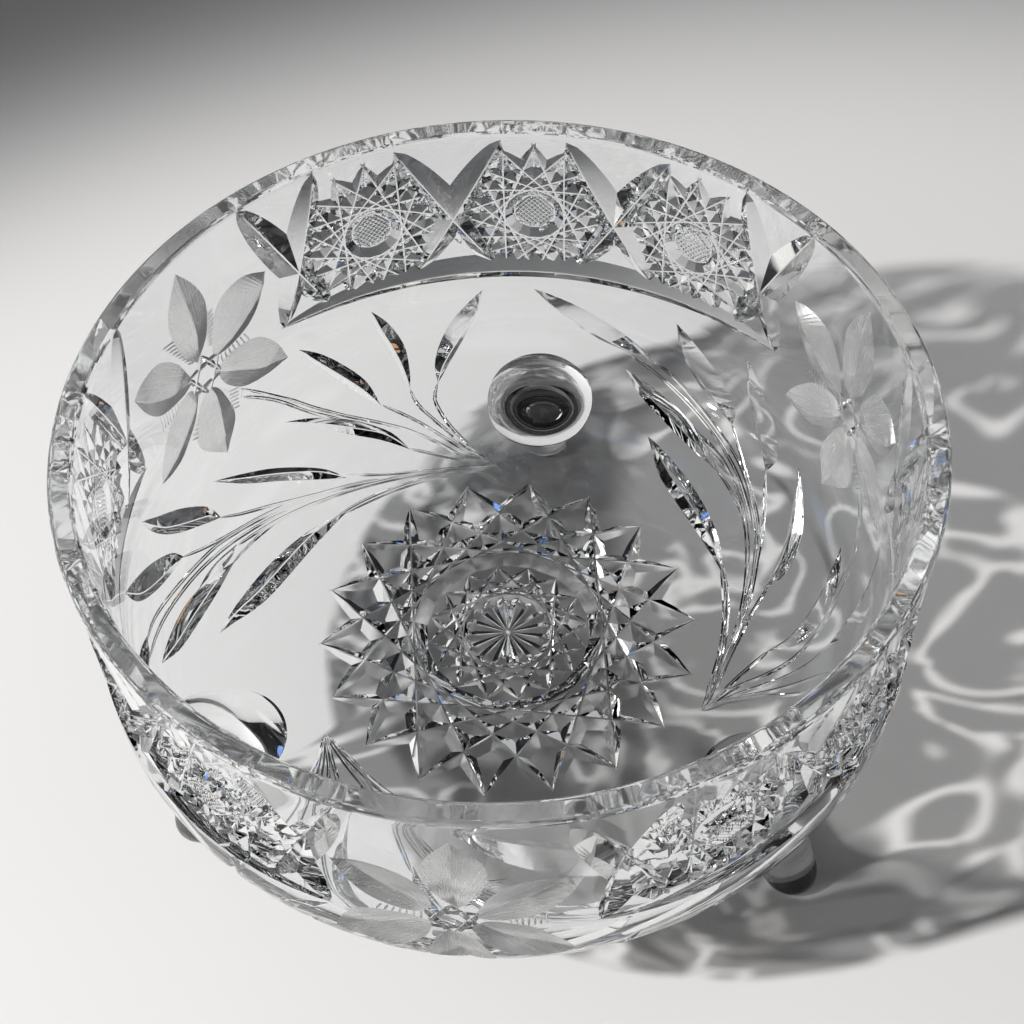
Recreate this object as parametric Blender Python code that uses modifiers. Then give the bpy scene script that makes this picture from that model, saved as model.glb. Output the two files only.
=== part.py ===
"""Cut-glass punch bowl on three applied peg feet.

Four solids: the bowl, which is one piece of glass, and the three solid glass feet
that are set under its rounded corner and splay outwards. Metres, +Z up, with the
origin on the table under the middle of the bowl.
"""

import math

import bpy
from mathutils import Matrix, Vector

# Bowl. The wall stands nearly upright and turns into the flat floor on a quarter circle.
RIM_RADIUS = 0.127
HEIGHT = 0.147
UNDERSIDE = 0.0395
WALL_RADIUS = 0.1245
CORNER_RADIUS = 0.036
RIM_THICKNESS = 0.0073
FLOOR_THICKNESS = 0.0105
INNER_WALL_RADIUS = 0.1165
INNER_CORNER_RADIUS = 0.029
RIM_EDGE_RADIUS = 0.0018

# Feet. Each is a solid peg that tapers and leans outwards down to a ground flat.
FOOT_NAMES = ("foot_back", "foot_left", "foot_right")
FIRST_FOOT_ANGLE = math.radians(81)
FOOT_ANGLE_STEP = math.radians(120)
FOOT_BOTTOM_DISTANCE = 0.1107
FOOT_TOP_DISTANCE = 0.0932
FOOT_FLAT_RADIUS = 0.0056
FOOT_END_RADIUS = 0.0089
FOOT_TOP_RADIUS = 0.0196
FOOT_TOP_TILT = math.radians(12.4)
FOOT_FLARE_POWER = 2.6
FOOT_FLARE_END = 0.84

# Clear gap between touching pieces, and how fine the round shapes are.
GAP = 0.0003
BOWL_SEGMENTS = 72
FOOT_SEGMENTS = 40
MERGE = 0.00001


def new_collection(name):
    collection = bpy.data.collections.new(name)
    bpy.context.scene.collection.children.link(collection)
    return collection


def glass(name, colour, roughness):
    """A clear Principled glass in one colour."""
    material = bpy.data.materials.new(name)
    material.use_nodes = True
    shader = material.node_tree.nodes["Principled BSDF"]
    shader.inputs["Base Color"].default_value = (*colour, 1.0)
    shader.inputs["Roughness"].default_value = roughness
    shader.inputs["Metallic"].default_value = 0.0
    shader.inputs["Transmission Weight"].default_value = 1.0
    shader.inputs["IOR"].default_value = 1.54
    return material


def arc(centre, radius, start, end, steps):
    """Points (distance, height) along an arc; angles in degrees, 0 pointing outwards."""
    points = []
    for step in range(steps + 1):
        angle = math.radians(start + (end - start) * step / steps)
        points.append((centre[0] + radius * math.cos(angle), centre[1] + radius * math.sin(angle)))
    return points


def flared_wall(bottom_radius, top_radius, bottom, top, steps):
    """Points up a wall that curves gently outwards to its top."""
    points = []
    for step in range(1, steps):
        rise = step / steps
        points.append((bottom_radius + (top_radius - bottom_radius) * rise ** 2,
                       bottom + (top - bottom) * rise))
    return points


def outer_profile():
    """Outside of the bowl, from the middle of the underside up to the rim's outer edge."""
    corner = (WALL_RADIUS - CORNER_RADIUS, UNDERSIDE + CORNER_RADIUS)
    edge = (RIM_RADIUS - RIM_EDGE_RADIUS, HEIGHT - RIM_EDGE_RADIUS)
    points = [(0.0, UNDERSIDE)]
    points += arc(corner, CORNER_RADIUS, -90, 0, 9)
    points += flared_wall(WALL_RADIUS, RIM_RADIUS, corner[1], edge[1], 4)
    points += arc(edge, RIM_EDGE_RADIUS, 0, 90, 3)
    return points


def inner_profile():
    """Inside of the bowl, from the rim's inner edge down to the middle of the floor."""
    floor = UNDERSIDE + FLOOR_THICKNESS
    corner = (INNER_WALL_RADIUS - INNER_CORNER_RADIUS, floor + INNER_CORNER_RADIUS)
    inner_rim = RIM_RADIUS - RIM_THICKNESS
    edge = (inner_rim + RIM_EDGE_RADIUS, HEIGHT - RIM_EDGE_RADIUS)
    points = arc(edge, RIM_EDGE_RADIUS, 90, 180, 3)
    points += reversed(flared_wall(INNER_WALL_RADIUS, inner_rim, corner[1], edge[1], 4))
    points += arc(corner, INNER_CORNER_RADIUS, 0, -90, 8)
    points.append((0.0, floor))
    return points


def turned(name, profile, segments, collection):
    """A solid of revolution about Z from a profile that runs down its outer side."""
    mesh = bpy.data.meshes.new(name)
    vertices = [(distance, 0.0, height) for distance, height in profile]
    edges = [(index, index + 1) for index in range(len(profile) - 1)]
    mesh.from_pydata(vertices, edges, [])
    turned_object = bpy.data.objects.new(name, mesh)
    collection.objects.link(turned_object)
    screw = turned_object.modifiers.new("Turn", "SCREW")
    screw.axis = "Z"
    screw.angle = 2 * math.pi
    screw.steps = segments
    screw.render_steps = segments
    screw.use_merge_vertices = True
    screw.merge_threshold = MERGE
    screw.use_smooth_shade = True
    return turned_object


def make_bowl(collection, material):
    profile = list(reversed(inner_profile())) + list(reversed(outer_profile()))
    bowl = turned("bowl", profile, BOWL_SEGMENTS, collection)
    bowl.data.materials.append(material)
    return bowl


def make_seat_cutter(collection):
    """The bowl's outside grown by the gap, as a solid block that trims the feet's tops."""
    corner = (WALL_RADIUS - CORNER_RADIUS, UNDERSIDE + CORNER_RADIUS)
    profile = [(0.0, corner[1]), (WALL_RADIUS + GAP, corner[1])]
    profile += arc(corner, CORNER_RADIUS + GAP, 0, -90, 9)
    profile.append((0.0, UNDERSIDE - GAP))
    cutter = turned("seat_cutter", profile, BOWL_SEGMENTS, collection)
    cutter.hide_render = True
    cutter.display_type = "WIRE"
    return cutter


def foot_profile(height):
    """Half outline of an upright foot: straight at its top, then tapering to the ground flat."""
    dome_height = math.sqrt(FOOT_END_RADIUS ** 2 - FOOT_FLAT_RADIUS ** 2)
    points = [(0.0, height)]
    steps = 9
    for step in range(steps):
        rise = 1 - step / steps
        spread = min(1.0, rise / FOOT_FLARE_END) ** FOOT_FLARE_POWER
        points.append((FOOT_END_RADIUS + (FOOT_TOP_RADIUS - FOOT_END_RADIUS) * spread,
                       dome_height + (height - dome_height) * rise))
    flat_angle = -math.degrees(math.acos(FOOT_FLAT_RADIUS / FOOT_END_RADIUS))
    points += arc((0.0, dome_height), FOOT_END_RADIUS, 0, flat_angle, 4)
    points.append((0.0, 0.0))
    return points


def lean(point, height):
    """Moves a point of the upright foot onto the leaning one, turning its sections to the bowl."""
    rise = point.z / height
    section = Matrix.Rotation(-FOOT_TOP_TILT * rise, 3, "Y") @ Vector((point.x, point.y, 0.0))
    inwards = (FOOT_BOTTOM_DISTANCE - FOOT_TOP_DISTANCE) * rise
    return section + Vector((FOOT_BOTTOM_DISTANCE - inwards, 0.0, point.z))


def make_foot_mesh(collection):
    """One foot under the bowl's +X side, before its top is trimmed to the bowl."""
    height = UNDERSIDE + 0.010
    upright = turned("upright_foot", foot_profile(height), FOOT_SEGMENTS, collection)
    evaluated = upright.evaluated_get(bpy.context.evaluated_depsgraph_get())
    mesh = bpy.data.meshes.new_from_object(evaluated)
    bpy.data.objects.remove(upright)
    for vertex in mesh.vertices:
        vertex.co = lean(vertex.co, height)
    mesh.name = "foot"
    return mesh


def make_feet(collection, cutter, material):
    mesh = make_foot_mesh(collection)
    mesh.materials.append(material)
    for index, name in enumerate(FOOT_NAMES):
        foot = bpy.data.objects.new(name, mesh)
        collection.objects.link(foot)
        foot.rotation_euler.z = FIRST_FOOT_ANGLE + index * FOOT_ANGLE_STEP
        trim = foot.modifiers.new("Seat", "BOOLEAN")
        trim.operation = "DIFFERENCE"
        trim.object = cutter


def main():
    for existing in list(bpy.data.objects):
        bpy.data.objects.remove(existing)
    parts = new_collection("punch_bowl")
    cutters = new_collection("cutters")
    crystal = glass("crystal", (0.96, 0.975, 0.98), 0.03)
    make_bowl(parts, crystal)
    make_feet(parts, make_seat_cutter(cutters), crystal)


main()
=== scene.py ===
"""Looks of the cut-glass punch bowl: the wheel-cut pattern, the three feet, their glass and the light.

The pattern is cut into the outside of the bowl. It is laid out on the outside's own coordinates, an
angle in degrees around the bowl (0 along +X, growing anticlockwise from above) and a distance in
millimetres down the surface from the rim, and it repeats three times around. The base star is laid
out in millimetres on the flat underside. Lengths are in millimetres until a mesh is made.
"""

import math

import bmesh
import bpy
import numpy as np
from mathutils import Euler, Matrix, Vector
from mathutils.bvhtree import BVHTree


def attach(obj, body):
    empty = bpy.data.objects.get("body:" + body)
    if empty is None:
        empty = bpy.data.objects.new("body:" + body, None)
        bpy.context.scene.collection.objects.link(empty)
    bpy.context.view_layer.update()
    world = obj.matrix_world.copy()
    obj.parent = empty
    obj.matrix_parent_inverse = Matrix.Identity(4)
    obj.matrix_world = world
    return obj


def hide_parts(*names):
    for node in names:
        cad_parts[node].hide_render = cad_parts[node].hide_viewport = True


MM = 0.001

# Bowl, as in the CAD part.
RIM_RADIUS = 127.0
HEIGHT = 147.0
UNDERSIDE = 39.5
WALL_RADIUS = 124.5
CORNER_RADIUS = 36.0
RIM_THICKNESS = 7.3
FLOOR_THICKNESS = 10.5
INNER_WALL_RADIUS = 116.5
INNER_CORNER_RADIUS = 29.0
RIM_EDGE_RADIUS = 1.8
BOWL_SEGMENTS = 192

# Feet, as in the CAD part.
FIRST_FOOT_ANGLE = 81.0
FOOT_BOTTOM_DISTANCE = 110.7
FOOT_TOP_DISTANCE = 93.2
FOOT_FLAT_RADIUS = 5.6
FOOT_END_RADIUS = 8.9
FOOT_TOP_RADIUS = 19.6
FOOT_TOP_TILT = 12.4
FOOT_FLARE_POWER = 2.6
FOOT_FLARE_END = 0.84
FOOT_SEGMENTS = 96

# The outside surface, measured down from the rim: wall, then quarter-circle corner, then floor.
CORNER_HEIGHT = UNDERSIDE + CORNER_RADIUS
FLARE_HEIGHT = HEIGHT - RIM_EDGE_RADIUS - CORNER_HEIGHT
WALL_END = HEIGHT - CORNER_HEIGHT
CORNER_END = WALL_END + CORNER_RADIUS * math.pi / 2
FLAT_RADIUS = WALL_RADIUS - CORNER_RADIUS

# Pattern layout.
REPEATS = 3
THIRD_TURN = 360 / REPEATS
PANEL_ANGLE = 82.5
HOBSTAR_STEP = 25.7
STAR_DOWN = 36.0
BASE_RAYS = 16
BASE_RAY_START = 0.3
BASE_RAY_LENGTH = 14.0

# How far a cutter's back stands off the glass: at most, as a share of its depth, and at its tips.
LIFT = 0.35
LIFT_SHARE = 0.15
TIP_LIFT = 0.02

# Width of a cut's flat bottom, which it reaches at the given depth, the least depth of a cut, the
# corners of its section, the crosshatching's half width as a share of its pitch, and how finely cuts
# are drawn.
CUT_BOTTOM = 0.5
FULL_BOTTOM_DEPTH = 1.4
LEAST_DEPTH = 0.02
SECTION_POINTS = 5
HATCH_SHARE = 0.47
HATCH_ROWS = 7
SPLINE_STEPS = 16

# Petal faces are looked for above this height and outside this distance from the axis. Each lies
# within this gap of the petal cutter and faces the other way: the cosine between them is this or less.
PETALS_ABOVE = 45.0
PETALS_OUTSIDE = 115.0
PETAL_GAP = 0.002
PETAL_FACING = -0.95

# A face is uncut glass if its corners are this near the turned form and it faces as the form does.
UNCUT_GAP = 0.03
UNCUT_FACING = 0.995
SHARP_EDGE = 11.0

# Glass: its index, the height of its surface grain, how densely the petals' wheel lines lie around
# and along a flower, and the distances from its middle between which the satin petals' colour goes from
# pale to dark.
REFRACTIVE_INDEX = 1.545
GRAIN_HEIGHT = 0.2
WHEEL_LINES_AROUND = 55.0
WHEEL_LINES_ALONG = 60.0
PETAL_SHADE_START = 12.0
PETAL_SHADE_END = 50.0

# Shares of a lamp's light that pass a glass surface: in the bright lines that cut glass casts,
# between those lines, and out through the far side of the glass. The lines' width is a range of the
# noise that they follow.
SHADOW_LINES = 1.2
SHADOW_CLEAR = 0.38
SHADOW_BACK = 0.85
SHADOW_LINE_WIDTH = 0.055

# Setting, in metres and degrees. The camera stands and looks as the picture's viewer does.
FLOOR_REACH = 3.0
KEY_PLACE = (-2.26, -0.74, 2.10)
KEY_TARGET = (-0.02, -0.04, 0.0)
KEY_POWER = 580.0
KEY_CONE = 15.4
KEY_BLEND = 0.6
KEY_RADIUS = 0.06
KEY_COLOUR = (1.0, 0.985, 0.96)
ROOM_COLOUR = (0.05, 0.05, 0.055)
ROOM_STRENGTH = 0.27
SOFT_BOX_CORE = 0.7
CAMERA_PLACE = (0.0, -0.3904, 0.6218)
CAMERA_ANGLES = (37.163, 1.565, -2.504)
CAMERA_LENS = 76.6
SENSOR_WIDTH = 36.0
BOUNCES = 24
GLOSSY_BOUNCES = 8

# ---------------------------------------------------------------- surfaces


def wall_point(angle, down, height=0.0):
    """A point of the bowl's outside, moved `height` mm off it along its normal."""
    if down <= WALL_END:
        z = HEIGHT - down
        rise = max(0.0, (z - CORNER_HEIGHT) / FLARE_HEIGHT)
        radius = WALL_RADIUS + (RIM_RADIUS - WALL_RADIUS) * rise ** 2
        slope = 2 * (RIM_RADIUS - WALL_RADIUS) * rise / FLARE_HEIGHT
        normal = Vector((1.0, -slope)).normalized()
    elif down <= CORNER_END:
        turn = (down - WALL_END) / CORNER_RADIUS
        normal = Vector((math.cos(turn), -math.sin(turn)))
        radius = FLAT_RADIUS + CORNER_RADIUS * normal.x
        z = CORNER_HEIGHT + CORNER_RADIUS * normal.y
    else:
        normal = Vector((0.0, -1.0))
        radius = FLAT_RADIUS - (down - CORNER_END)
        z = UNDERSIDE
    radius += normal.x * height
    turned = math.radians(angle)
    return Vector((radius * math.cos(turned), radius * math.sin(turned), z + normal.y * height))


def wall_scale(point):
    """Millimetres per unit along each coordinate of the outside at a point."""
    across = wall_point(0.0, point[1]).x
    return math.radians(1) * across, 1.0


def base_point(x, y, height=0.0):
    """A point of the flat underside, moved `height` mm down off it."""
    return Vector((x, y, UNDERSIDE - height))


def base_scale(_point):
    return 1.0, 1.0


WALL = (wall_point, wall_scale)
BASE = (base_point, base_scale)

# ---------------------------------------------------------------- meshes


def new_object(name, mesh):
    created = bpy.data.objects.new(name, mesh)
    bpy.context.scene.collection.objects.link(created)
    return created


def solid(name, points, faces):
    """A closed mesh object from points in millimetres, its faces turned outwards and triangular."""
    mesh = bpy.data.meshes.new(name)
    mesh.from_pydata([point * MM for point in points], [], faces)
    shape = bmesh.new()
    shape.from_mesh(mesh)
    bmesh.ops.recalc_face_normals(shape, faces=shape.faces)
    bmesh.ops.triangulate(shape, faces=shape.faces)
    shape.to_mesh(mesh)
    shape.free()
    return new_object(name, mesh)


def turned(name, profile, segments):
    """A closed solid of revolution about Z; the profile starts and ends on the axis."""
    points = [Vector((0.0, 0.0, profile[0][1])), Vector((0.0, 0.0, profile[-1][1]))]
    inner = profile[1:-1]
    for distance, height in inner:
        for step in range(segments):
            angle = 2 * math.pi * step / segments
            points.append(Vector((distance * math.cos(angle), distance * math.sin(angle), height)))
    faces = []
    last = 2 + (len(inner) - 1) * segments
    for step in range(segments):
        after = (step + 1) % segments
        faces.append((0, 2 + step, 2 + after))
        faces.append((1, last + after, last + step))
        for row in range(len(inner) - 1):
            start = 2 + row * segments
            faces.append((start + step, start + segments + step,
                          start + segments + after, start + after))
    return solid(name, points, faces)


def evaluated_mesh(source):
    depsgraph = bpy.context.evaluated_depsgraph_get()
    return bpy.data.meshes.new_from_object(source.evaluated_get(depsgraph))


def combine(base, others, operation):
    """Joins or cuts `base` with each of the other solids in turn, and removes those."""
    for other in others:
        modifier = base.modifiers.new("Combine", "BOOLEAN")
        modifier.operation = operation
        modifier.solver = "MANIFOLD"
        modifier.object = other
    mesh = evaluated_mesh(base)
    mesh.materials.clear()
    base.modifiers.clear()
    old = base.data
    base.data = mesh
    bpy.data.meshes.remove(old)
    for other in others:
        bpy.data.objects.remove(other)
    return base


def union(pieces):
    return combine(pieces[0], pieces[1:], "UNION")


def repeated(source, angles):
    """Copies of a solid turned about Z, joined in one mesh. The copies don't touch each other."""
    shape = bmesh.new()
    for angle in angles:
        copy = source.data.copy()
        copy.transform(Matrix.Rotation(math.radians(angle), 4, "Z"))
        shape.from_mesh(copy)
        bpy.data.meshes.remove(copy)
    mesh = bpy.data.meshes.new(source.name)
    shape.to_mesh(mesh)
    shape.free()
    return new_object(source.name, mesh)


# ---------------------------------------------------------------- wheel cuts


def smooth_path(points, count):
    """`count` evenly spaced points on a smooth curve through the given ones."""
    points = [Vector(point) for point in points]
    if len(points) == 2:
        return [points[0].lerp(points[1], step / (count - 1)) for step in range(count)]
    padded = [2 * points[0] - points[1]] + points + [2 * points[-1] - points[-2]]
    dense = []
    for index in range(len(points) - 1):
        a, b, c, d = padded[index:index + 4]
        for step in range(SPLINE_STEPS):
            t = step / SPLINE_STEPS
            dense.append(0.5 * (2 * b + (c - a) * t + (2 * a - 5 * b + 4 * c - d) * t ** 2
                                + (3 * b - a - 3 * c + d) * t ** 3))
    dense.append(points[-1])
    lengths = [0.0]
    for index in range(1, len(dense)):
        lengths.append(lengths[-1] + (dense[index] - dense[index - 1]).length)
    spaced = []
    index = 0
    for step in range(count):
        wanted = lengths[-1] * step / (count - 1)
        while index < len(dense) - 2 and lengths[index + 1] < wanted:
            index += 1
        span = max(lengths[index + 1] - lengths[index], 1e-9)
        spaced.append(dense[index].lerp(dense[index + 1], min(1.0, (wanted - lengths[index]) / span)))
    return spaced


def wedge(surface, left, rib, right, depths):
    """A cutter with a V section: it meets the surface at `left` and `right`, deepest under `rib`.
    The V has a narrow flat bottom, as a polished wheel cut has, and the cutter's back bends over
    its rib, to stay clear of the round glass."""
    place = surface[0]
    points = [place(*rib[0], TIP_LIFT)]
    for side_a, middle, side_b, depth in list(zip(left, rib, right, depths))[1:-1]:
        lift = max(TIP_LIFT, min(LIFT, LIFT_SHARE * depth))
        spread = 1 + lift / depth
        flat = CUT_BOTTOM * min(1.0, depth / FULL_BOTTOM_DEPTH)
        across, down = surface[1](middle)
        wide = math.hypot((side_a.x - side_b.x) * across, (side_a.y - side_b.y) * down)
        share = flat / max(wide, 1e-6)
        points.append(place(*middle.lerp(side_a, spread), lift))
        points.append(place(*middle.lerp(side_a, share), -depth))
        points.append(place(*middle.lerp(side_b, share), -depth))
        points.append(place(*middle.lerp(side_b, spread), lift))
        points.append(place(*middle, lift))
    points.append(place(*rib[-1], TIP_LIFT))
    rows = len(rib) - 2
    end = len(points) - 1
    faces = []
    last = 1 + SECTION_POINTS * (rows - 1)
    for side in range(SECTION_POINTS):
        after = (side + 1) % SECTION_POINTS
        faces.append((0, 1 + side, 1 + after))
        faces.append((end, last + after, last + side))
        for row in range(rows - 1):
            start = 1 + SECTION_POINTS * row
            beyond = start + SECTION_POINTS
            faces.append((start + side, beyond + side, beyond + after, start + after))
    return solid("cut", points, faces)


def groove(surface, path, half_widths, steepness):
    """A V groove along a path, as deep as its half width over `steepness`."""
    scale = surface[1]
    left, right, depths = [], [], []
    for index, point in enumerate(path):
        before = path[max(0, index - 1)]
        after = path[min(len(path) - 1, index + 1)]
        across, down = scale(point)
        direction = Vector(((after.x - before.x) * across, (after.y - before.y) * down)).normalized()
        side = Vector((-direction.y / across, direction.x / down))
        left.append(point + side * half_widths[index])
        right.append(point - side * half_widths[index])
        depths.append(max(half_widths[index] / steepness, LEAST_DEPTH))
    return wedge(surface, left, path, right, depths)


def mitre(surface, points, half_width, steepness, power=2.0, fullness=0.6, count=21):
    """A groove that is widest and deepest in the middle and comes to a point at both ends."""
    path = smooth_path(points, count)
    widths = []
    for index in range(count):
        along = abs(2 * index / (count - 1) - 1)
        widths.append(half_width * (1 - along ** power) ** fullness)
    return groove(surface, path, widths, steepness)


def leaf(surface, tip, base, left, rib, right, steepness, deepest, count=17):
    """A leaf-shaped cut with its own outline on each side of its deepest line, which is as deep
    as its wider side's width over `steepness`, up to `deepest`."""
    tip, base = Vector(tip), Vector(base)
    outlines = []
    for side in (left, rib, right):
        outlines.append(smooth_path([tip] + [Vector(point) for point in side] + [base], count))
    depths = []
    for side_a, middle, side_b in zip(*outlines):
        across, down = surface[1](middle)
        widths = []
        for side in (side_a, side_b):
            widths.append(math.hypot((side.x - middle.x) * across, (side.y - middle.y) * down))
        depths.append(min(deepest, max(max(widths) / steepness, LEAST_DEPTH)))
    return wedge(surface, *outlines, depths)


# ---------------------------------------------------------------- panel of three hobstars


def star_chords(surface, centre, tips, reach, first, touching, half_width, steepness, count=13):
    """The straight grooves of a star: each is a tangent to a circle of radius `touching`."""
    chords = []
    half = math.sqrt(reach ** 2 - touching ** 2)
    across, down = surface[1](centre)
    for index in range(tips):
        turn = math.radians(first + 360 * index / tips)
        outwards = Vector((math.cos(turn), math.sin(turn)))
        along = Vector((-outwards.y, outwards.x))
        ends = []
        for sign in (-1, 1):
            end = outwards * touching + along * half * sign
            ends.append((centre[0] + end.x / across, centre[1] + end.y / down))
        chords.append(mitre(surface, ends, half_width, steepness, power=3.4, fullness=1.0, count=count))
    return chords


def crosshatch(centre, radius, pitch, depth):
    """Two crossing sets of fine V grooves that leave small pyramids on a round button."""
    across, down = wall_scale(centre)
    lines = []
    count = int(radius / pitch)
    for turn in (math.radians(45), math.radians(135)):
        along = Vector((math.cos(turn), math.sin(turn)))
        outwards = Vector((-along.y, along.x))
        for index in range(-count, count + 1):
            offset = index * pitch
            half = math.sqrt(radius ** 2 - offset ** 2)
            ends = []
            for sign in (-1, 1):
                end = outwards * offset + along * half * sign
                ends.append((centre[0] + end.x / across, centre[1] + end.y / down))
            path = smooth_path(ends, HATCH_ROWS)
            half_width = pitch * HATCH_SHARE
            lines.append(groove(WALL, path, [half_width] * HATCH_ROWS, half_width / depth))
    return lines


def make_hobstar():
    """A hobstar at angle 0: sixteen long chords around a crosshatched button."""
    centre = (0.0, STAR_DOWN)
    cuts = star_chords(WALL, centre, tips=16, reach=28.6, first=0.0, touching=10.2,
                       half_width=3.2, steepness=1.1)
    cuts += crosshatch(centre, radius=6.8, pitch=1.35, depth=0.55)
    return union(cuts)


def crossing_leaves():
    """The pairs of large leaf cuts that cross between the stars and at the panel's ends."""
    cuts = []
    for centre in (-HOBSTAR_STEP / 2, HOBSTAR_STEP / 2):
        for lean in (-1, 1):
            points = ((centre + lean * 8.0, 6.5), (centre - lean * 6.5, 59.5))
            cuts.append(mitre(WALL, points, half_width=6.4, steepness=1.04))
    for side in (-1, 1):
        centre = side * HOBSTAR_STEP * 1.5
        outer = ((centre + side * 8.0, 5.0), (centre - side * 4.5, 61.0))
        inner = ((centre - side * 5.0, 5.0), (centre + side * 4.0, 62.5))
        cuts.append(mitre(WALL, outer, half_width=6.2, steepness=1.02))
        cuts.append(mitre(WALL, inner, half_width=6.0, steepness=1.0))
    return cuts


def make_panel():
    """Three hobstars, the leaves that frame them and the long crescent under them, at angle 0."""
    hobstar = make_hobstar()
    stars = [repeated(hobstar, [angle]) for angle in (-HOBSTAR_STEP, 0.0, HOBSTAR_STEP)]
    bpy.data.objects.remove(hobstar)
    crescent = mitre(WALL, ((-43.2, 61.8), (0.0, 60.6), (43.2, 61.8)), half_width=5.6,
                     steepness=0.98, power=2.4, fullness=0.75, count=61)
    return union(stars + crossing_leaves() + [crescent])


# ---------------------------------------------------------------- flower

# Each petal as its tip, its end near the middle, and its left edge, midrib and right edge.
PETALS = (
    ((141.9, 10.4), (142.2, 49.5),
     ((145.4, 22.0), (145.9, 32.0), (144.5, 43.0)),
     ((142.0, 21.0), (141.5, 33.0), (141.7, 44.0)),
     ((139.2, 20.0), (138.0, 30.0), (139.3, 42.0))),
    ((157.6, 34.6), (143.9, 54.8),
     ((155.0, 33.0), (150.3, 34.0), (146.4, 42.0)),
     ((154.4, 42.0), (150.3, 48.6), (146.2, 52.6)),
     ((155.6, 45.0), (152.3, 53.2), (147.2, 56.2))),
    ((156.8, 78.2), (143.4, 60.8),
     ((155.3, 71.5), (151.0, 60.8), (146.0, 56.8)),
     ((153.3, 76.4), (149.9, 73.4), (146.0, 67.0)),
     ((154.0, 80.0), (149.9, 79.3), (145.6, 71.5))),
    ((142.5, 94.6), (140.9, 63.6),
     ((146.0, 86.0), (145.9, 78.0), (143.6, 67.0)),
     ((141.4, 87.0), (140.4, 78.0), (140.4, 69.0)),
     ((138.0, 86.0), (137.8, 77.0), (139.2, 67.9))),
    ((125.2, 76.8), (139.0, 59.6),
     ((127.0, 66.5), (130.4, 58.6), (135.6, 56.9)),
     ((129.6, 73.2), (133.4, 68.0), (136.6, 63.0)),
     ((129.6, 78.3), (134.2, 76.2), (137.6, 68.4))),
    ((126.5, 33.9), (139.0, 53.6),
     ((130.8, 30.4), (135.4, 33.6), (138.3, 43.0)),
     ((128.8, 41.0), (132.2, 46.8), (135.8, 50.8)),
     ((128.4, 44.0), (131.2, 51.0), (135.4, 54.2))),
)
FLOWER_CENTRE = (141.3, 57.0)

# Fringes of short fine cuts: first and last cut as (start, end), and how many cuts.
FRINGES = (
    (((148.6, 31.0), (145.3, 33.0)), ((144.3, 46.0), (142.9, 48.0)), 9),
    (((139.2, 36.0), (136.8, 34.0)), ((139.6, 47.0), (137.4, 46.4)), 8),
    (((153.0, 52.0), (153.0, 60.0)), ((148.5, 55.5), (148.5, 61.0)), 7),
    (((137.5, 53.5), (137.3, 59.0)), ((132.5, 53.0), (131.5, 58.0)), 7),
    (((138.4, 69.0), (140.4, 71.0)), ((134.8, 77.0), (135.8, 80.5)), 7),
    (((147.4, 77.5), (145.4, 80.0)), ((143.8, 67.0), (142.0, 68.6)), 8),
    (((137.6, 73.0), (135.2, 75.0)), ((138.6, 81.0), (136.0, 83.0)), 6),
)


def make_petals():
    """Six broad shallow leaf cuts around the flower's middle."""
    petals = []
    for tip, base, left, rib, right in PETALS:
        petals.append(leaf(WALL, tip, base, left, rib, right, steepness=2.8, deepest=2.9, count=33))
    return union(petals)


def fringe_cuts():
    """Rows of short fine cuts beside the petals."""
    cuts = []
    for (first_start, first_end), (last_start, last_end), count in FRINGES:
        starts = smooth_path((first_start, last_start), count)
        ends = smooth_path((first_end, last_end), count)
        for start, end in zip(starts, ends):
            cuts.append(mitre(WALL, (start, end), half_width=0.34, steepness=1.2,
                              power=4.0, fullness=0.7, count=5))
    return cuts


def flower_middle():
    """A small six-pointed star where the petals meet."""
    return star_chords(WALL, FLOWER_CENTRE, tips=6, reach=9.6, first=30.0, touching=4.4,
                       half_width=1.1, steepness=1.0, count=9)


# ---------------------------------------------------------------- spray of leaves

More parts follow.
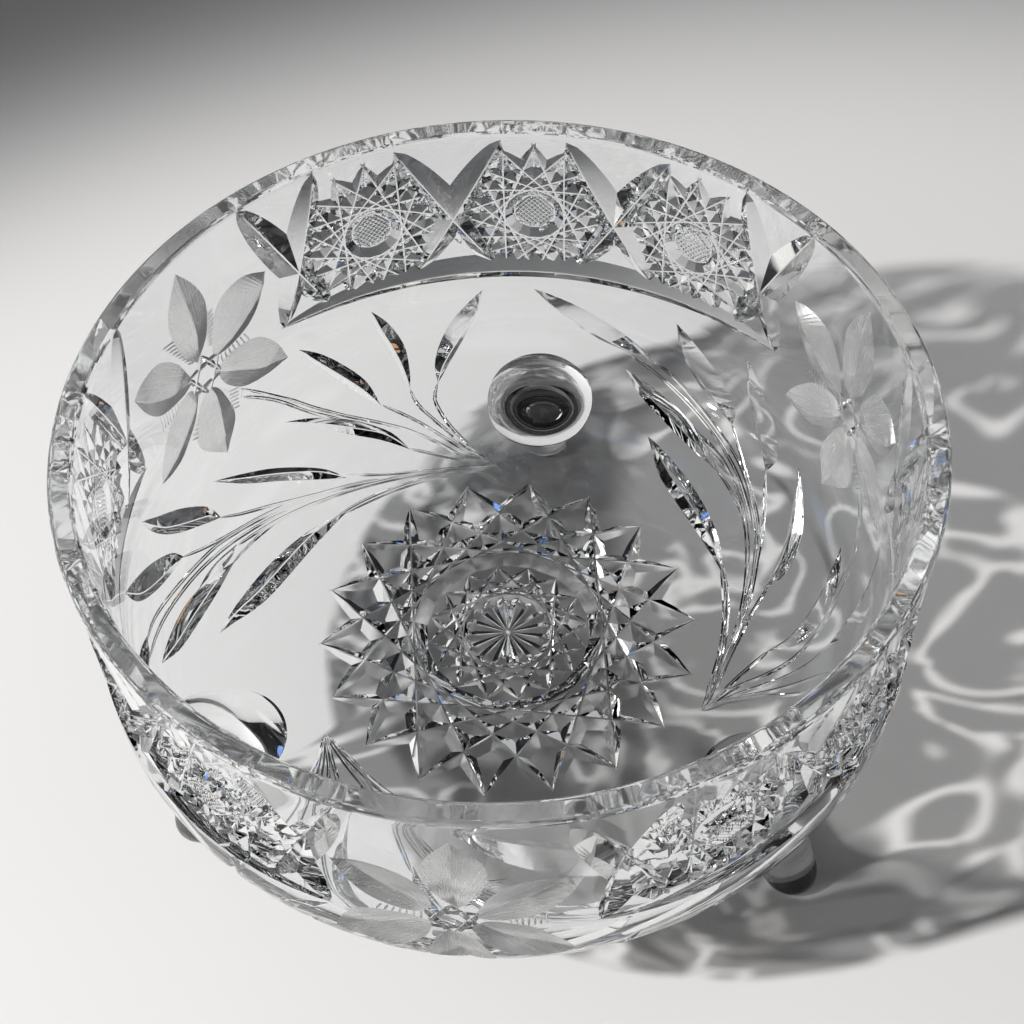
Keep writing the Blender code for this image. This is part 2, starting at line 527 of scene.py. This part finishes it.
# Each leaf as its tip, its base, its steep side, its deepest line and its bulged side.
LEAVES = (
    ((91.3, 72.4), (101.0, 109.5),
     ((92.2, 82.0), (94.6, 92.0), (98.6, 103.5)),
     ((92.6, 81.5), (95.4, 91.0), (99.3, 102.5)),
     ((94.2, 79.5), (97.8, 89.0), (100.6, 100.5))),
    ((109.9, 72.5), (106.4, 109.7),
     ((109.4, 81.0), (108.3, 90.0), (107.2, 100.0)),
     ((109.0, 81.0), (107.8, 90.0), (106.8, 100.0)),
     ((107.3, 81.0), (105.4, 92.0), (105.5, 102.0))),
    ((123.2, 76.0), (112.7, 112.0),
     ((121.8, 83.0), (119.6, 91.0), (116.5, 102.0)),
     ((121.3, 83.0), (118.9, 91.0), (115.7, 101.5)),
     ((119.9, 82.5), (116.8, 90.5), (113.6, 101.0))),
    ((130.5, 100.0), (111.4, 134.0),
     ((125.4, 109.5), (120.4, 118.5), (115.6, 126.5)),
     ((124.9, 109.0), (119.8, 117.5), (114.8, 126.0)),
     ((125.6, 104.5), (119.2, 112.5), (113.6, 123.5))),
    ((148.2, 97.8), (128.0, 132.8),
     ((143.8, 108.0), (138.6, 116.8), (133.0, 126.4)),
     ((143.2, 107.0), (137.8, 115.8), (132.2, 125.4)),
     ((143.2, 104.2), (136.8, 112.6), (130.6, 123.6))),
    ((165.2, 75.6), (152.4, 108.4),
     ((163.4, 87.8), (160.2, 97.0), (155.2, 105.0)),
     ((162.6, 87.4), (158.9, 96.0), (154.4, 103.8)),
     ((161.0, 84.8), (156.2, 93.4), (152.4, 102.2))),
    ((178.8, 75.0), (163.4, 103.0),
     ((176.9, 87.4), (172.6, 95.8), (167.2, 101.0)),
     ((176.0, 86.2), (171.4, 94.2), (166.2, 99.8)),
     ((173.8, 83.2), (168.6, 90.6), (164.2, 98.0))),
    ((203.0, 72.0), (182.0, 93.6),
     ((198.0, 84.0), (192.5, 91.0), (186.0, 94.2)),
     ((197.4, 82.4), (192.0, 88.8), (186.2, 92.6)),
     ((196.2, 78.6), (190.4, 84.6), (184.8, 90.4))),
    ((186.0, 100.8), (159.4, 121.4),
     ((181.6, 109.2), (174.6, 115.6), (167.0, 119.8)),
     ((180.8, 107.4), (173.8, 113.4), (166.2, 118.4)),
     ((179.4, 104.8), (171.8, 109.6), (164.4, 116.0))),
    ((176.8, 123.6), (134.2, 143.6),
     ((168.8, 135.6), (158.4, 141.4), (145.4, 143.8)),
     ((168.2, 133.4), (158.0, 138.8), (145.0, 142.0)),
     ((165.8, 129.6), (155.6, 134.2), (143.6, 139.2))),
    ((168.5, 112.5), (155.5, 119.0),
     ((165.5, 116.0), (162.0, 118.4), (158.4, 119.6)),
     ((165.2, 115.2), (161.8, 117.4), (158.2, 119.0)),
     ((164.6, 113.6), (160.8, 115.4), (157.4, 117.8))),
)

# Stems as fine grooves; all of them run together where the spray begins, under the panel.
ROOT = (90.4, 149.2)
STEMS = (
    ((101.0, 109.0), (102.2, 115.0), (102.0, 120.0), (100.8, 128.0), (98.4, 136.0), (94.4, 145.0), ROOT),
    ((106.4, 109.0), (105.8, 116.0), (103.5, 125.0), (101.0, 132.0), (97.4, 140.5), ROOT),
    ((112.6, 111.5), (109.0, 119.0), (106.0, 126.0), (102.3, 134.0), (97.6, 142.0), ROOT),
    ((111.6, 133.5), (107.0, 138.6), (101.0, 143.6), ROOT),
    ((135.4, 75.5), (130.0, 88.5), (127.0, 95.0), (124.5, 101.0), (120.0, 109.6),
     (115.0, 117.4), (110.0, 125.4), (105.0, 134.0), (99.6, 142.6), ROOT),
    ((135.4, 80.0), (132.0, 86.4), (129.2, 92.4), (125.2, 102.4), (120.6, 111.0)),
    ((128.6, 130.6), (124.0, 136.0), (118.0, 141.0), (110.0, 145.2), (101.0, 147.6), ROOT),
    ((152.8, 107.8), (149.2, 114.2), (144.4, 120.8), (140.0, 126.6), (134.0, 132.6), (128.0, 137.2),
     (120.6, 141.6), (110.0, 145.8), (100.0, 148.0)),
    ((163.8, 102.4), (159.6, 108.8), (154.4, 114.8), (149.0, 119.6), (143.0, 124.8), (137.0, 130.0),
     (130.0, 135.2), (122.0, 140.0)),
    ((184.6, 92.8), (178.4, 96.6), (171.6, 102.6), (165.0, 107.8), (158.0, 112.6), (152.0, 117.8),
     (145.0, 123.8), (138.0, 130.0), (130.0, 136.0)),
    ((186.4, 94.6), (179.6, 99.4), (171.4, 105.6), (163.4, 111.4), (156.4, 116.6), (150.0, 121.8),
     (143.0, 127.4)),
    ((160.8, 120.6), (152.8, 124.2), (145.6, 127.8), (138.4, 132.8), (130.0, 137.8), (121.0, 142.2),
     (111.0, 146.0), (101.0, 148.6)),
    ((156.0, 119.4), (149.4, 124.6), (142.4, 129.8), (134.4, 135.2)),
    ((138.0, 142.2), (128.0, 144.6), (118.0, 146.8), (108.0, 148.4), (98.0, 149.4), ROOT),
    ((136.0, 143.6), (126.0, 146.2), (115.0, 148.2), (104.0, 149.6), (95.0, 150.0)),
)


def make_spray():
    """Slender polished leaves and their stems, which fan out over the corner from one root."""
    cuts = []
    for tip, base, steep, rib, bulged in LEAVES:
        cuts.append(leaf(WALL, tip, base, steep, rib, bulged, steepness=0.75, deepest=5.0))
    for points in STEMS:
        cuts.append(mitre(WALL, points, half_width=0.68, steepness=0.85, power=8.0,
                          count=8 + 3 * len(points)))
    return union(cuts)


# ---------------------------------------------------------------- base star


def make_base_star():
    """The eighteen-pointed star under the floor, with a finer star and a rayed middle inside it."""
    middle = (0.0, 0.0)
    cuts = star_chords(BASE, middle, tips=18, reach=61.0, first=0.8, touching=30.0,
                       half_width=4.3, steepness=1.4)
    cuts += star_chords(BASE, middle, tips=16, reach=25.8, first=84.0, touching=14.2,
                        half_width=1.9, steepness=1.3)
    return union(cuts + base_rays())


def base_rays():
    """The rays in the middle of the base star, which widen outwards until they close."""
    spread = 0.193
    least_width = 0.02
    rays = []
    for index in range(BASE_RAYS):
        turn = math.radians(5.0 + 360 * index / BASE_RAYS)
        outwards = Vector((math.cos(turn), math.sin(turn)))
        path = smooth_path((outwards * BASE_RAY_START, outwards * BASE_RAY_LENGTH), 15)
        widths = []
        for point in path:
            closing = math.sqrt(max(0.0, 1 - (point.length / BASE_RAY_LENGTH) ** 8))
            widths.append(spread * point.length * closing + least_width)
        rays.append(groove(BASE, path, widths, steepness=1.4))
    return rays


# ---------------------------------------------------------------- bowl


def arc(centre, radius, start, end, steps):
    """Points (distance, height) along an arc; angles in degrees, 0 pointing outwards."""
    points = []
    for step in range(steps + 1):
        angle = math.radians(start + (end - start) * step / steps)
        points.append((centre[0] + radius * math.cos(angle), centre[1] + radius * math.sin(angle)))
    return points


def flared_wall(bottom_radius, top_radius, bottom, top, steps):
    """Points up a wall that curves gently outwards to its top."""
    points = []
    for step in range(1, steps):
        rise = step / steps
        points.append((bottom_radius + (top_radius - bottom_radius) * rise ** 2,
                       bottom + (top - bottom) * rise))
    return points


def floor_rings(height, outer):
    """Points across a flat floor, from the middle outwards."""
    return [(0.0, height), (outer * 0.25, height), (outer * 0.5, height), (outer * 0.75, height)]


def bowl_profile():
    """Inside from the middle of the floor up to the rim, then the outside down to the axis."""
    floor = UNDERSIDE + FLOOR_THICKNESS
    inner_corner = (INNER_WALL_RADIUS - INNER_CORNER_RADIUS, floor + INNER_CORNER_RADIUS)
    inner_rim = RIM_RADIUS - RIM_THICKNESS
    top = HEIGHT - RIM_EDGE_RADIUS
    points = floor_rings(floor, inner_corner[0])
    points += arc(inner_corner, INNER_CORNER_RADIUS, -90, 0, 18)
    points += flared_wall(INNER_WALL_RADIUS, inner_rim, inner_corner[1], top, 9)
    points += arc((inner_rim + RIM_EDGE_RADIUS, top), RIM_EDGE_RADIUS, 180, 90, 6)
    outside = floor_rings(UNDERSIDE, FLAT_RADIUS)
    outside += arc((FLAT_RADIUS, CORNER_HEIGHT), CORNER_RADIUS, -90, 0, 26)
    outside += flared_wall(WALL_RADIUS, RIM_RADIUS, CORNER_HEIGHT, top, 10)
    outside += arc((RIM_RADIUS - RIM_EDGE_RADIUS, top), RIM_EDGE_RADIUS, 0, 90, 6)
    return points + list(reversed(outside))


def profile_normals(profile):
    """Outward normal of the turned surface at each point of its profile."""
    points = np.array(profile)
    steps = np.diff(points, axis=0)
    edge = np.stack((steps[:, 1], -steps[:, 0]), axis=1)
    edge /= np.linalg.norm(edge, axis=1)[:, None]
    edge *= -1 if edge[0, 1] < 0 else 1
    normals = np.vstack((edge[:1], edge[:-1] + edge[1:], edge[-1:]))
    return normals / np.linalg.norm(normals, axis=1)[:, None]


def smooth_turned_surface(mesh, profile):
    """Gives the uncut glass the exact normals of the turned form, so that it stays optically clean."""
    mesh.shade_smooth()
    mesh.set_sharp_from_angle(angle=math.radians(SHARP_EDGE))
    corner_count = len(mesh.loops)
    normals = np.zeros(corner_count * 3, np.float32)
    mesh.corner_normals.foreach_get("vector", normals)
    normals = normals.reshape(-1, 3)
    corner_vertices = np.zeros(corner_count, np.int32)
    mesh.loops.foreach_get("vertex_index", corner_vertices)
    places = np.zeros(len(mesh.vertices) * 3, np.float32)
    mesh.vertices.foreach_get("co", places)
    places = places.reshape(-1, 3)[corner_vertices] / MM
    distance = np.hypot(places[:, 0], places[:, 1])
    flat = np.stack((distance, places[:, 2]), axis=1)
    points = np.array(profile)
    bends = profile_normals(profile)
    best = np.full(corner_count, 1e9)
    exact = np.zeros((corner_count, 2))
    for index in range(len(points) - 1):
        start, end = points[index], points[index + 1]
        along = np.clip((flat - start) @ (end - start) / ((end - start) @ (end - start)), 0, 1)
        gap = np.linalg.norm(flat - (start + along[:, None] * (end - start)), axis=1)
        closer = gap < best
        best[closer] = gap[closer]
        blend = bends[index] * (1 - along[:, None]) + bends[index + 1] * along[:, None]
        exact[closer] = blend[closer]
    exact /= np.linalg.norm(exact, axis=1)[:, None]
    around = places[:, :2] / np.maximum(distance, 1e-6)[:, None]
    full = np.column_stack((around * exact[:, :1], exact[:, 1]))
    for polygon in mesh.polygons:
        corners = slice(polygon.loop_start, polygon.loop_start + polygon.loop_total)
        on_surface = best[corners].max() < UNCUT_GAP
        facing = (full[corners] @ np.array(polygon.normal)).min() > UNCUT_FACING
        if on_surface and facing:
            normals[corners] = full[corners]
    mesh.normals_split_custom_set([tuple(normal) for normal in normals])


def mark_petals(mesh, petals, slot_index):
    """Gives the faces that a petal cut made the satin finish."""
    tree = BVHTree.FromObject(petals, bpy.context.evaluated_depsgraph_get())
    for polygon in mesh.polygons:
        centre = polygon.center
        if centre.z / MM < PETALS_ABOVE or math.hypot(centre.x, centre.y) / MM < PETALS_OUTSIDE:
            continue
        normal = tree.find_nearest(centre, PETAL_GAP * MM)[1]
        if normal is not None and normal.dot(polygon.normal) < PETAL_FACING:
            polygon.material_index = slot_index


def mark_rim(mesh, slot_index):
    """Gives the rounded rim its own finish, a little less clear than the blown glass."""
    for polygon in mesh.polygons:
        if polygon.center.z / MM > HEIGHT - RIM_EDGE_RADIUS:
            polygon.material_index = slot_index


def make_bowl(clear, satin, rim):
    """The bowl with its feet joined to it and the whole pattern cut out of it."""
    profile = bowl_profile()
    bowl = turned("cut_bowl", profile, BOWL_SEGMENTS)
    thirds = [THIRD_TURN * index for index in range(REPEATS)]
    turns = [PANEL_ANGLE + third for third in thirds]
    panel = make_panel()
    spray = union([make_spray()] + fringe_cuts() + flower_middle())
    petal = make_petals()
    petals = repeated(petal, thirds)
    cutters = [repeated(panel, turns), repeated(spray, thirds), make_base_star()]
    for source in (panel, spray, petal):
        bpy.data.objects.remove(source)
    marker = repeated(petals, [0.0])
    combine(bowl, [make_feet()], "UNION")
    combine(bowl, [petals] + cutters, "DIFFERENCE")
    for material in (clear, satin, rim):
        bowl.data.materials.append(material)
    bowl.data.polygons.foreach_set("material_index", [0] * len(bowl.data.polygons))
    mark_petals(bowl.data, marker, 1)
    mark_rim(bowl.data, 2)
    bpy.data.objects.remove(marker)
    smooth_turned_surface(bowl.data, profile)
    return bowl


# ---------------------------------------------------------------- feet


def foot_profile(height):
    """Half outline of an upright foot: straight at its top, then tapering to the ground flat."""
    dome_height = math.sqrt(FOOT_END_RADIUS ** 2 - FOOT_FLAT_RADIUS ** 2)
    points = [(0.0, height)]
    steps = 28
    for step in range(steps):
        rise = 1 - step / steps
        spread = min(1.0, rise / FOOT_FLARE_END) ** FOOT_FLARE_POWER
        points.append((FOOT_END_RADIUS + (FOOT_TOP_RADIUS - FOOT_END_RADIUS) * spread,
                       dome_height + (height - dome_height) * rise))
    flat_angle = -math.degrees(math.acos(FOOT_FLAT_RADIUS / FOOT_END_RADIUS))
    points += arc((0.0, dome_height), FOOT_END_RADIUS, 0, flat_angle, 12)
    points.append((0.0, 0.0))
    return points


def lean(point, height):
    """Moves a point of the upright foot onto the leaning one, turning its sections to the bowl."""
    rise = point.z / height
    tilt = Matrix.Rotation(-math.radians(FOOT_TOP_TILT) * rise, 3, "Y")
    section = tilt @ Vector((point.x, point.y, 0.0))
    inwards = (FOOT_BOTTOM_DISTANCE - FOOT_TOP_DISTANCE) * rise
    return section + Vector((FOOT_BOTTOM_DISTANCE - inwards, 0.0, point.z))


def make_feet():
    """The three feet, each with its top set a little way into the glass of the bowl."""
    height = UNDERSIDE + 10.0
    foot = turned("foot", foot_profile(height), FOOT_SEGMENTS)
    for vertex in foot.data.vertices:
        vertex.co = lean(vertex.co / MM, height) * MM
    feet = repeated(foot, [FIRST_FOOT_ANGLE + THIRD_TURN * index for index in range(REPEATS)])
    bpy.data.objects.remove(foot)
    return feet


# ---------------------------------------------------------------- materials


def node(tree, kind, **settings):
    """A new node with the given properties set."""
    made = tree.nodes.new(kind)
    for name, value in settings.items():
        setattr(made, name, value)
    return made


def calculate(tree, operation, first, second=0.0):
    """A Math node on two values, each a number or another node's output; returns its result."""
    made = node(tree, "ShaderNodeMath", operation=operation)
    for index, value in enumerate((first, second)):
        if isinstance(value, (int, float)):
            made.inputs[index].default_value = value
        else:
            tree.links.new(value, made.inputs[index])
    return made.outputs["Value"]


def make_glass(name, colour, clarity, low, high, bump, grain):
    """Clear or satin glass. Low and high are its roughness, varied by the pattern that the function
    `grain` builds, which also gives the bump."""
    material = bpy.data.materials.new(name)
    material.use_nodes = True
    tree = material.node_tree
    shader = tree.nodes["Principled BSDF"]
    shader.inputs["Base Color"].default_value = (*colour, 1.0)
    shader.inputs["Transmission Weight"].default_value = clarity
    shader.inputs["IOR"].default_value = REFRACTIVE_INDEX
    pattern = grain(tree)
    spread = node(tree, "ShaderNodeMapRange")
    spread.inputs["To Min"].default_value = low
    spread.inputs["To Max"].default_value = high
    ripple = node(tree, "ShaderNodeBump")
    ripple.inputs["Strength"].default_value = bump
    ripple.inputs["Distance"].default_value = GRAIN_HEIGHT * MM
    tree.links.new(pattern, spread.inputs["Value"])
    tree.links.new(spread.outputs["Result"], shader.inputs["Roughness"])
    tree.links.new(pattern, ripple.inputs["Height"])
    tree.links.new(ripple.outputs["Normal"], shader.inputs["Normal"])
    lighten_shadow(tree, shader)
    return material


def soft_grain(tree):
    """Broad faint unevenness, as polished glass has."""
    place = node(tree, "ShaderNodeTexCoord")
    noise = node(tree, "ShaderNodeTexNoise")
    noise.inputs["Scale"].default_value = 33.0
    noise.inputs["Detail"].default_value = 3.0
    tree.links.new(place.outputs["Object"], noise.inputs["Vector"])
    return noise.outputs["Fac"]


def petal_place(tree):
    """The direction and the distance, in radians and metres, from the middle of the nearest flower."""
    place = node(tree, "ShaderNodeTexCoord")
    parts = node(tree, "ShaderNodeSeparateXYZ")
    tree.links.new(place.outputs["Object"], parts.inputs["Vector"])
    around = calculate(tree, "ARCTAN2", parts.outputs["Y"], parts.outputs["X"])
    half = THIRD_TURN / 2
    around = calculate(tree, "ADD", around, math.radians(2 * 360 - FLOWER_CENTRE[0] + half))
    around = calculate(tree, "MODULO", around, math.radians(THIRD_TURN))
    around = calculate(tree, "SUBTRACT", around, math.radians(half))
    across = calculate(tree, "MULTIPLY", around, WALL_RADIUS * MM)
    middle = (HEIGHT - FLOWER_CENTRE[1]) * MM
    up = calculate(tree, "SUBTRACT", parts.outputs["Z"], middle)
    turn = calculate(tree, "ARCTAN2", across, up)
    squares = calculate(tree, "ADD", calculate(tree, "MULTIPLY", across, across),
                        calculate(tree, "MULTIPLY", up, up))
    return turn, calculate(tree, "POWER", squares, 0.5)


def petal_grain(tree):
    """Fine wheel lines that run out from the middle of each flower, along its petals."""
    turn, away = petal_place(tree)
    lines = node(tree, "ShaderNodeCombineXYZ")
    tree.links.new(calculate(tree, "MULTIPLY", turn, WHEEL_LINES_AROUND), lines.inputs["X"])
    tree.links.new(calculate(tree, "MULTIPLY", away, WHEEL_LINES_ALONG), lines.inputs["Y"])
    noise = node(tree, "ShaderNodeTexNoise")
    noise.inputs["Scale"].default_value = 1.0
    noise.inputs["Detail"].default_value = 4.0
    tree.links.new(lines.outputs["Vector"], noise.inputs["Vector"])
    return noise.outputs["Fac"]


def shade_petals(material, inner, outer):
    """Makes the satin glass's colour pale near a flower's middle and darker towards the petals' tips,
    with soft clouds in it.
    """
    tree = material.node_tree
    _turn, away = petal_place(tree)
    clouds = node(tree, "ShaderNodeTexNoise")
    clouds.inputs["Scale"].default_value = 90.0
    place = node(tree, "ShaderNodeTexCoord")
    tree.links.new(place.outputs["Object"], clouds.inputs["Vector"])
    uneven = calculate(tree, "MULTIPLY", clouds.outputs["Fac"], 0.02)
    tint = node(tree, "ShaderNodeMix", data_type="RGBA")
    tint.inputs["A"].default_value = (*inner, 1.0)
    tint.inputs["B"].default_value = (*outer, 1.0)
    reach = node(tree, "ShaderNodeMapRange")
    reach.inputs["From Min"].default_value = PETAL_SHADE_START * MM
    reach.inputs["From Max"].default_value = PETAL_SHADE_END * MM
    tree.links.new(calculate(tree, "ADD", away, uneven), reach.inputs["Value"])
    tree.links.new(reach.outputs["Result"], tint.inputs["Factor"])
    tree.links.new(tint.outputs["Result"], tree.nodes["Principled BSDF"].inputs["Base Color"])


def lighten_shadow(tree, shader):
    """Lets part of the lamps' light through, gathered into bright wandering lines as cut glass
    does, instead of a black shadow."""
    output = tree.nodes["Material Output"]
    rays = node(tree, "ShaderNodeLightPath")
    place = node(tree, "ShaderNodeTexCoord")
    waves = node(tree, "ShaderNodeTexNoise")
    waves.inputs["Scale"].default_value = 20.0
    waves.inputs["Detail"].default_value = 1.2
    waves.inputs["Distortion"].default_value = 1.4
    ridge = calculate(tree, "ABSOLUTE", calculate(tree, "SUBTRACT", waves.outputs["Fac"], 0.5))
    lines = node(tree, "ShaderNodeMapRange", interpolation_type="SMOOTHSTEP")
    lines.inputs["From Max"].default_value = SHADOW_LINE_WIDTH
    lines.inputs["To Min"].default_value = SHADOW_LINES
    lines.inputs["To Max"].default_value = SHADOW_CLEAR
    side = node(tree, "ShaderNodeNewGeometry")
    share = node(tree, "ShaderNodeMix", data_type="FLOAT")
    share.inputs["B"].default_value = SHADOW_BACK
    clear = node(tree, "ShaderNodeBsdfTransparent")
    mix = node(tree, "ShaderNodeMixShader")
    links = tree.links
    links.new(place.outputs["Object"], waves.inputs["Vector"])
    links.new(ridge, lines.inputs["Value"])
    links.new(side.outputs["Backfacing"], share.inputs["Factor"])
    links.new(lines.outputs["Result"], share.inputs["A"])
    links.new(share.outputs["Result"], clear.inputs["Color"])
    links.new(rays.outputs["Is Shadow Ray"], mix.inputs["Fac"])
    links.new(shader.outputs["BSDF"], mix.inputs[1])
    links.new(clear.outputs["BSDF"], mix.inputs[2])
    links.new(mix.outputs["Shader"], output.inputs["Surface"])


def make_floor_material():
    """A matt pale surface with the faintest unevenness."""
    material = bpy.data.materials.new("pale_floor")
    material.use_nodes = True
    tree = material.node_tree
    shader = tree.nodes["Principled BSDF"]
    shader.inputs["Roughness"].default_value = 0.7
    noise = node(tree, "ShaderNodeTexNoise")
    noise.inputs["Scale"].default_value = 3.0
    tint = node(tree, "ShaderNodeMix", data_type="RGBA")
    tint.inputs["A"].default_value = (0.70, 0.70, 0.705, 1.0)
    tint.inputs["B"].default_value = (0.74, 0.74, 0.745, 1.0)
    tree.links.new(noise.outputs["Fac"], tint.inputs["Factor"])
    tree.links.new(tint.outputs["Result"], shader.inputs["Base Color"])
    return material


# ---------------------------------------------------------------- setting


def make_floor():
    mesh = bpy.data.meshes.new("floor")
    reach = FLOOR_REACH
    mesh.from_pydata([(-reach, -reach, 0), (reach, -reach, 0), (reach, reach, 0), (-reach, reach, 0)],
                     [], [(0, 1, 2, 3)])
    floor = new_object("floor", mesh)
    mesh.materials.append(make_floor_material())


def make_key_lamp():
    """One soft-edged studio lamp from the left, which throws the bowl's shadow to the right."""
    spot = bpy.data.lights.new("key", "SPOT")
    spot.energy = KEY_POWER
    spot.spot_size = math.radians(KEY_CONE)
    spot.spot_blend = KEY_BLEND
    spot.shadow_soft_size = KEY_RADIUS
    spot.color = KEY_COLOUR
    lamp = new_object("key", spot)
    lamp.location = KEY_PLACE
    aim = Vector(KEY_TARGET) - lamp.location
    lamp.rotation_euler = aim.to_track_quat("-Z", "Y").to_euler()


# Soft boxes in the dim room, as seen from the bowl: azimuth, elevation, size in degrees and colour.
SOFT_BOXES = (
    (205.0, 48.0, 22.0, (3.4, 3.35, 3.2)),
    (120.0, 34.0, 16.0, (1.9, 1.95, 2.05)),
    (40.0, 58.0, 14.0, (1.7, 1.72, 1.8)),
    (-30.0, 32.0, 14.0, (2.0, 1.95, 1.85)),
    (-95.0, 26.0, 18.0, (1.6, 1.65, 1.75)),
    (75.0, 16.0, 7.0, (0.7, 1.5, 3.6)),
    (160.0, 20.0, 8.0, (0.9, 1.6, 3.4)),
    (20.0, 22.0, 7.0, (2.6, 1.5, 0.8)),
)


def soft_box(tree, ray, azimuth, elevation, size, colour):
    """A round soft-edged patch of light in the given direction; returns its colour output."""
    turn, rise = math.radians(azimuth), math.radians(elevation)
    towards = node(tree, "ShaderNodeVectorMath", operation="DOT_PRODUCT")
    towards.inputs[1].default_value = (math.cos(turn) * math.cos(rise),
                                       math.sin(turn) * math.cos(rise), math.sin(rise))
    edge = node(tree, "ShaderNodeMapRange", interpolation_type="SMOOTHSTEP")
    edge.inputs["From Min"].default_value = math.cos(math.radians(size))
    edge.inputs["From Max"].default_value = math.cos(math.radians(size * SOFT_BOX_CORE))
    lit = node(tree, "ShaderNodeVectorMath", operation="SCALE")
    lit.inputs[0].default_value = colour
    tree.links.new(ray, towards.inputs[0])
    tree.links.new(towards.outputs["Value"], edge.inputs["Value"])
    tree.links.new(edge.outputs["Result"], lit.inputs["Scale"])
    return lit.outputs["Vector"]


def make_world():
    """A dim room with bright soft boxes, which give the facets their darks and lights."""
    world = bpy.data.worlds.new("studio")
    bpy.context.scene.world = world
    world.use_nodes = True
    tree = world.node_tree
    background = tree.nodes["Background"]
    ray = node(tree, "ShaderNodeTexCoord").outputs["Generated"]
    room = node(tree, "ShaderNodeCombineXYZ")
    for socket, value in zip(room.inputs, ROOM_COLOUR):
        socket.default_value = value
    total = room.outputs["Vector"]
    for box in SOFT_BOXES:
        brighter = node(tree, "ShaderNodeVectorMath", operation="ADD")
        tree.links.new(total, brighter.inputs[0])
        tree.links.new(soft_box(tree, ray, *box), brighter.inputs[1])
        total = brighter.outputs["Vector"]
    tree.links.new(total, background.inputs["Color"])
    background.inputs["Strength"].default_value = ROOM_STRENGTH


def make_camera():
    camera = bpy.data.cameras.new("camera")
    camera.lens = CAMERA_LENS
    camera.sensor_width = SENSOR_WIDTH
    holder = new_object("camera", camera)
    holder.location = CAMERA_PLACE
    holder.rotation_euler = Euler([math.radians(angle) for angle in CAMERA_ANGLES])
    bpy.context.scene.camera = holder


def set_look():
    scene = bpy.context.scene
    scene.view_settings.view_transform = "Standard"
    scene.cycles.caustics_refractive = False
    scene.cycles.caustics_reflective = False
    scene.cycles.max_bounces = BOUNCES
    scene.cycles.transmission_bounces = BOUNCES
    scene.cycles.glossy_bounces = GLOSSY_BOUNCES
    scene.cycles.transparent_max_bounces = BOUNCES


def main():
    clear = make_glass("clear_crystal", (0.97, 0.985, 0.99), clarity=1.0, low=0.0, high=0.02,
                       bump=0.02, grain=soft_grain)
    satin = make_glass("satin_petals", (0.73, 0.73, 0.735), clarity=0.86, low=0.22, high=0.34,
                       bump=0.7, grain=petal_grain)
    shade_petals(satin, inner=(0.93, 0.93, 0.935), outer=(0.66, 0.66, 0.665))
    rim = make_glass("polished_rim", (0.97, 0.98, 0.985), clarity=0.92, low=0.04, high=0.12,
                     bump=0.1, grain=soft_grain)
    bowl = make_bowl(clear, satin, rim)
    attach(bowl, "root")
    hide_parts("bowl", "foot_back", "foot_left", "foot_right")
    make_floor()
    make_key_lamp()
    make_world()
    make_camera()
    set_look()


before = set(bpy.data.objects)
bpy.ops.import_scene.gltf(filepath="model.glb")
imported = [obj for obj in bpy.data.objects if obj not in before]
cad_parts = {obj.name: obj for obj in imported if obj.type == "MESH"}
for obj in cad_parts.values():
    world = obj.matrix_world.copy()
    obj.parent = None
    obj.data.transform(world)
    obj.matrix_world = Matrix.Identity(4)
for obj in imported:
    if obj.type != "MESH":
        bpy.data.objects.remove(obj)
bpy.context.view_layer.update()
main()
